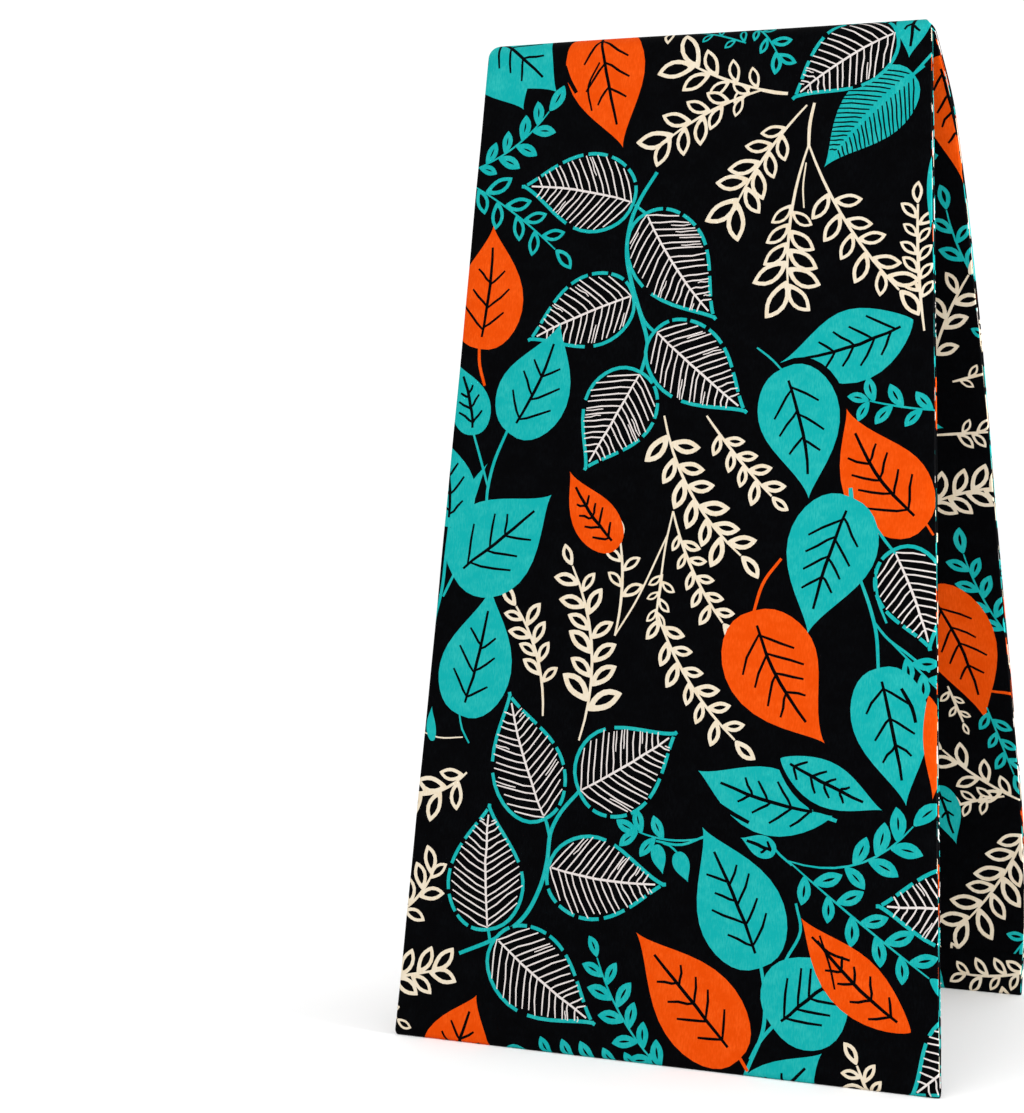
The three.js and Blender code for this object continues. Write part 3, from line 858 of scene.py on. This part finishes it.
def cloth_piece(name, flat, faces, dyes, points):
    """The piece's object: its points in space, its dyes by face and its flat places as a UV map in metres."""
    piece = mesh_object(name, points, faces)
    mesh = piece.data
    for paint in dyed_cotton:
        mesh.materials.append(paint)
    mesh.polygons.foreach_set("material_index", dyes.astype(np.int32))
    corner = np.zeros(len(mesh.loops), np.int32)
    mesh.loops.foreach_get("vertex_index", corner)
    mesh.uv_layers.new(name="cloth").data.foreach_set("uv", (flat[corner] * MM).astype(np.float32).ravel())
    return piece


def wander(travel, phase, size=0.3):
    """How far a pressed edge strays from its line: three slow waves added together."""
    waves = ((410, 0.5), (170, 0.33), (67, 0.17))
    return size * sum(part * np.sin(2 * np.pi * travel / length + phase * part * 9) for length, part in waves)


def ply_places(flat, depth, phase, inset=0):
    """Where a ply's flat points lie in space: folded at the side edges and carried round the strip. Flat x is
    across and flat y is minus the distance travelled. The ply's back lies inset below its face."""
    centre, out, left, right = way_round(-flat[:, 1], FACE)
    left, right = left + wander(flat[:, 1], phase), right + wander(flat[:, 1], phase + 2)
    x, depth = round_edges(flat[:, 0], left, right, depth, LEFT_FOLD, RIGHT_FOLD, inset)
    return in_the_row(x, depth, centre, out, left, right)


def print_ply(name, start, end, depth_at, shapes, phase):
    """A whole ply from one distance travelled to another, at the depths that depth_at gives: a printed face,
    a back the cloth's thickness below it, and a rim that joins their borders."""
    travel, bent = rows_along(start, end, FACE)
    _, _, left, right = way_round(travel, FACE)
    left, right = left + wander(-travel, phase), right + wander(-travel, phase + 2)
    across = places_across(left, right, LEFT_FOLD, RIGHT_FOLD)
    face, face_triangles, dyes, back, back_triangles = printed_map(
        across[::-1], -travel[::-1], bent[::-1], shapes
    )
    above, below = border_of(face, face_triangles), border_of(back, back_triangles) + len(face)
    above_next, below_next = np.roll(above, -1), np.roll(below, -1)
    rim = [np.stack([above, below, below_next], 1), np.stack([above, below_next, above_next], 1)]
    faces = np.concatenate([face_triangles, back_triangles[:, ::-1] + len(face), *rim])
    plain = np.full(len(faces) - len(dyes), BLACK)
    points = [ply_places(face, depth_at(face), phase), ply_places(back, depth_at(back), phase, CLOTH)]
    return cloth_piece(
        name, np.concatenate([face, back]), faces, np.concatenate([dyes, plain]), np.concatenate(points)
    )


# Soft ridges and troughs that are left in the pressed cloth. x is across and y up from the crest, in mm, at
# the middle of each, turn is how it runs in degrees, and long, wide and high are its sizes in mm.
Crease = namedtuple("Crease", "x y turn long wide high")


def creased(flat, creases):
    """How far the creases lift the cloth: each is a bell across its width that fades out along its length."""
    lift = np.zeros(len(flat))
    for row in creases:
        turn = np.radians(row.turn)
        away = flat - (row.x, row.y)
        along = away @ (np.cos(turn), np.sin(turn))
        across = away @ (-np.sin(turn), np.cos(turn))
        lift += row.high * np.exp(-((along / row.long) ** 2) - (across / row.wide) ** 2)
    return lift


ROUND = lengths_round(FACE)
FRONT_FLOOR = ROUND[2]  # where the front foot's turn ends, in mm travelled from the crest
BACK_FLOOR = ROUND[5] - ROUND[-1]  # and the back foot's, the other way
OUTER_CREASES = [
    Crease(-70, -130, 78, 130, 55, 0.55),
    Crease(60, -210, 102, 150, 38, -0.35),
    Crease(-20, -330, 84, 140, 45, 0.4),
    Crease(95, -400, 70, 90, 30, 0.45),
    Crease(-95, -440, 97, 80, 34, -0.35),
    Crease(10, -470, 8, 120, 26, 0.4),
    Crease(-10, -276, 1, 150, 10, -0.22),
    Crease(50, -96, -14, 80, 12, 0.25),
    Crease(-60, 120, 84, 120, 50, 0.5),
    Crease(40, 210, 96, 110, 36, -0.4),
    Crease(90, 330, 80, 120, 40, 0.5),
    Crease(-40, 420, 12, 110, 28, 0.45),
    Crease(-100, 480, 95, 70, 30, -0.35),
    Crease(0, 290, -2, 150, 11, -0.25),
]


def outer_depth(flat):
    """The outer ply lies on the strip's face with its creases. Turned up inside the back foot it swells, as a
    sine squared."""
    tucked = np.clip((flat[:, 1] + BACK_FLOOR) / BACK_TUCK, 0, 1)
    swell = BACK_TUCK_SWELL * np.sin(np.pi * tucked) ** 2 + 0.1 * (tucked > 0.9)
    return FACE + creased(flat, OUTER_CREASES) + swell


tuck_print = [Sprig(CREAM, 153, 12 - BACK_FLOOR, 117, 7 - BACK_FLOOR, 0.05, 3, 0.1, 12, 0.45, 0.0, 2)]
taken = footprint(front_print + tuck_print)
SMALL_COUNTS = (5, 7, 4, 4, 2, 4, 8, 8, 10, 14, 20)  # how many there are of each of ONE_BY_ONE
LOTS = [Lot(group, 1, 200) for group in (UPPER_BRANCH, TOP_SPRAY, LOWER_BRANCH, MIDDLE_SPRAY)]
LOTS += [Lot(group, count, 80) for group, count in zip(ONE_BY_ONE, SMALL_COUNTS)]
BACK_LOW, BACK_HIGH = (-165, 20), (165, 610)
back_print, taken = strew(np.random.default_rng(7), LOTS, BACK_LOW, BACK_HIGH, taken)
outer_ply = print_ply(
    "outer_ply",
    BACK_FLOOR - BACK_TUCK,
    FRONT_FLOOR + FRONT_TUCK,
    outer_depth,
    draw(back_print + tuck_print + front_print),
    phase=0.7,
)
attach(outer_ply, "root")
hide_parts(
    "front_fall_outer", "ridge_outer", "back_fall_outer", "front_foot_fold", "back_foot_fold"
)

# The inner ply
# The same cotton on the inside of the inverted V, seen through its open ends. It runs from under the front
# foot's tuck up to the ridge and down the back fall, into the back foot's tuck.
TUCK_LAP = 8  # how far it runs down under each tuck
LAP_DEPTH = 0.7  # and how much deeper it lies there
INNER_START = ROUND[2] + FRONT_TUCK - TUCK_LAP
INNER_END = ROUND[5] - BACK_TUCK + TUCK_LAP
INNER_CREASES = [
    Crease(-50, -700, 84, 120, 48, 0.45),
    Crease(70, -820, 100, 130, 36, -0.35),
    Crease(-80, -980, 76, 90, 40, 0.45),
    Crease(0, -845, 2, 150, 11, -0.25),
    Crease(40, -1240, 86, 120, 44, 0.5),
    Crease(-70, -1330, 97, 110, 38, -0.35),
    Crease(112, -1420, 82, 80, 22, 0.35),
    Crease(120, -1655, 6, 60, 7, -0.5),
    Crease(0, -1395, -2, 150, 11, -0.25),
    Crease(-30, -1540, 10, 110, 26, 0.4),
]


def inner_depth(flat):
    """The inner ply lies on the strip's inner face with its creases, and dips under the tucks, as an eased
    step."""
    travel = -flat[:, 1]
    covered = np.minimum(travel - INNER_START, INNER_END - travel) / TUCK_LAP
    t = np.clip(1.6 - covered, 0, 1)
    return FACE + creased(flat, INNER_CREASES) * (1 - t) - LAP_DEPTH * t * t * (3 - 2 * t)


# The motifs along the back fall's inner side, where it shows beside the front fall.
INNER_MOTIFS = [
    Leaf(ORANGE, 123, -1132, 134, -1200, 0.46, 0.04, 4),
    Sprig(TEAL, 136, -1250, 124, -1214, 0.04, 2, 0.15, 14, 0.32, 0, 1),
    Sprig(CREAM, 111, -1300, 134, -1250, 0.04, 3, 0.15, 15, 0.42, 0, 1),
    Sprig(CREAM, 122, -1310, 142, -1305, 0, 1, 0.3, 9, 0.5, 0, 1),
    Sprig(CREAM, 108, -1341, 140, -1339, 0, 2, 0.5, 11, 0.5, 0, 1),
    Sprig(CREAM, 102, -1383, 148, -1371, 0.05, 4, 0.12, 17, 0.5, 0, 1),
    Sprig(TEAL, 148, -1462, 123, -1411, 0.05, 4, 0.08, 15, 0.24, 0, 1),
    Leaf(ORANGE, 101, -1432, 131, -1512, 0.52, 0.05, 4),
    Sprig(CREAM, 110, -1492, 118, -1514, 0, 2, 0.2, 9, 0.4, 0, 1),
    Sprig(TEAL, 132, -1504, 146, -1545, 0, 3, 0.12, 13, 0.32, 0, 1),
    Sprig(CREAM, 152, -1562, 105, -1532, 0.05, 3, 0.2, 16, 0.52, 0.1, 1),
    Sprig(CREAM, 140, -1559, 104, -1570, -0.03, 3, 0.22, 12, 0.5, 0, 1),
    Leaf(TEAL, 101, -1555, 111, -1591, 0.5, 0, 2),
    Sprig(CREAM, 154, -1574, 117, -1637, 0.05, 5, 0.15, 19, 0.52, 0, 2),
    Sprig(TEAL, 154, -1642, 142, -1658, 0, 1, 0.3, 12, 0.3, 0, 1),
]
# Circles of black ground that no strewn motif may enter: painted shade, where the back fall's inner side lies
# in the front fall's shadow.
BARE_GROUND_AS_SHADE = np.array([[108, -1612, 22], [112, -1235, 16], [118, -1420, 8]])  # circles that stay black
INNER_LOW, INNER_HIGH = (-165, -INNER_END), (165, -INNER_START)
strewn, _ = strew(
    np.random.default_rng(23),
    [lot._replace(count=lot.count * 2) for lot in LOTS],
    INNER_LOW,
    INNER_HIGH,
    np.concatenate([footprint(INNER_MOTIFS), BARE_GROUND_AS_SHADE]),
)
inner_ply = print_ply(
    "inner_ply", INNER_START, INNER_END, inner_depth, draw(strewn + INNER_MOTIFS), phase=2.9
)
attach(inner_ply, "root")
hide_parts("front_fall_inner", "ridge_inner", "back_fall_inner")

# The hidden plies
# Between the two faces lie all the other plies. Only their pressed side folds show, as a stack of thin
# rounded edges that run right round the strip. Each crosses the print elsewhere, so it shows slivers of
# colour.
FOLD_RADIUS = 0.5
FOLD_DEPTHS = (0.5, 1.5)
FOLD_INWARDS = 3.0
FOLD_SIDES = 6
RIGHT_RECESS = 0.15
LEFT_RECESS = 1.2


def slivers(chance, length):
    """Where the dye changes along a fold, and each stretch's dye: short ones of colour with black between."""
    cuts, dyes = [0.0], []
    while cuts[-1] < length:
        dyes += [BLACK, chance.choice([TEAL, ORANGE, CREAM, WHITE], p=[0.36, 0.16, 0.32, 0.16])]
        cuts.append(cuts[-1] + chance.gamma(1.6, 8.0) + 1.5)
        cuts.append(cuts[-1] + chance.gamma(1.5, 5.0) + 1.5)
    return np.array(cuts), np.array(dyes)


def side_fold(chance, side, depth, recess):
    """One pressed fold all round the strip: a half circle outwards and two straight legs inwards, carried
    along the way round. Gives its points, quads, dyes and flat places."""
    total = lengths_round(depth)[-1]
    cuts, dyes = slivers(chance, total)
    rows, _ = rows_along(0, total, depth)
    rows = np.unique(np.round(np.concatenate([rows[:-1], cuts[(cuts > 0) & (cuts < total - 1)]]), 2))
    arc = np.linspace(0, np.pi, FOLD_SIDES + 1)
    aside = np.concatenate([[-FOLD_INWARDS], FOLD_RADIUS * (np.sin(arc) - 1), [-FOLD_INWARDS]])
    lift = np.concatenate([[FOLD_RADIUS], FOLD_RADIUS * np.cos(arc), [-FOLD_RADIUS]])
    shear = 1.2 * np.sin(rows / 23) * np.sin(np.pi * rows / total) ** 2
    travel = rows[:, None] + shear[:, None] * lift / FOLD_RADIUS
    centre, out, left, right = way_round(travel.ravel(), depth)
    stray = wander(travel.ravel(), chance.uniform(0, 6)) - recess
    edge = right + stray if side > 0 else left - stray
    x = edge + side * np.tile(aside, len(rows))
    points = in_the_row(x, depth + np.tile(lift, len(rows)), centre, out, left, right)
    count, width = len(rows), len(aside)
    i, j = np.meshgrid(np.arange(count), np.arange(width), indexing="ij")
    ahead, beside = (i + 1) % count, (j + 1) % width
    quads = np.stack([i * width + j, i * width + beside, ahead * width + beside, ahead * width + j], -1)
    quads = quads.reshape(-1, 4)[:, :: int(side)]
    middle = (rows + np.append(rows[1:], total)) / 2
    dye = np.repeat(dyes[np.searchsorted(cuts, middle) - 1], width)
    return points, quads, dye, np.column_stack([x, -travel.ravel()])


chance = np.random.default_rng(5)
parts = [
    side_fold(chance, side, depth, recess)
    for side, recess in ((1, RIGHT_RECESS), (-1, LEFT_RECESS))
    for depth in FOLD_DEPTHS
]
starts = np.cumsum([0] + [len(p[0]) for p in parts[:-1]])
plies = cloth_piece(
    "folded_plies",
    np.concatenate([p[3] for p in parts]),
    np.concatenate([p[1] + start for p, start in zip(parts, starts)]),
    np.concatenate([p[2] for p in parts]),
    np.concatenate([p[0] for p in parts]),
)
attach(plies, "root")
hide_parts("hidden_plies")
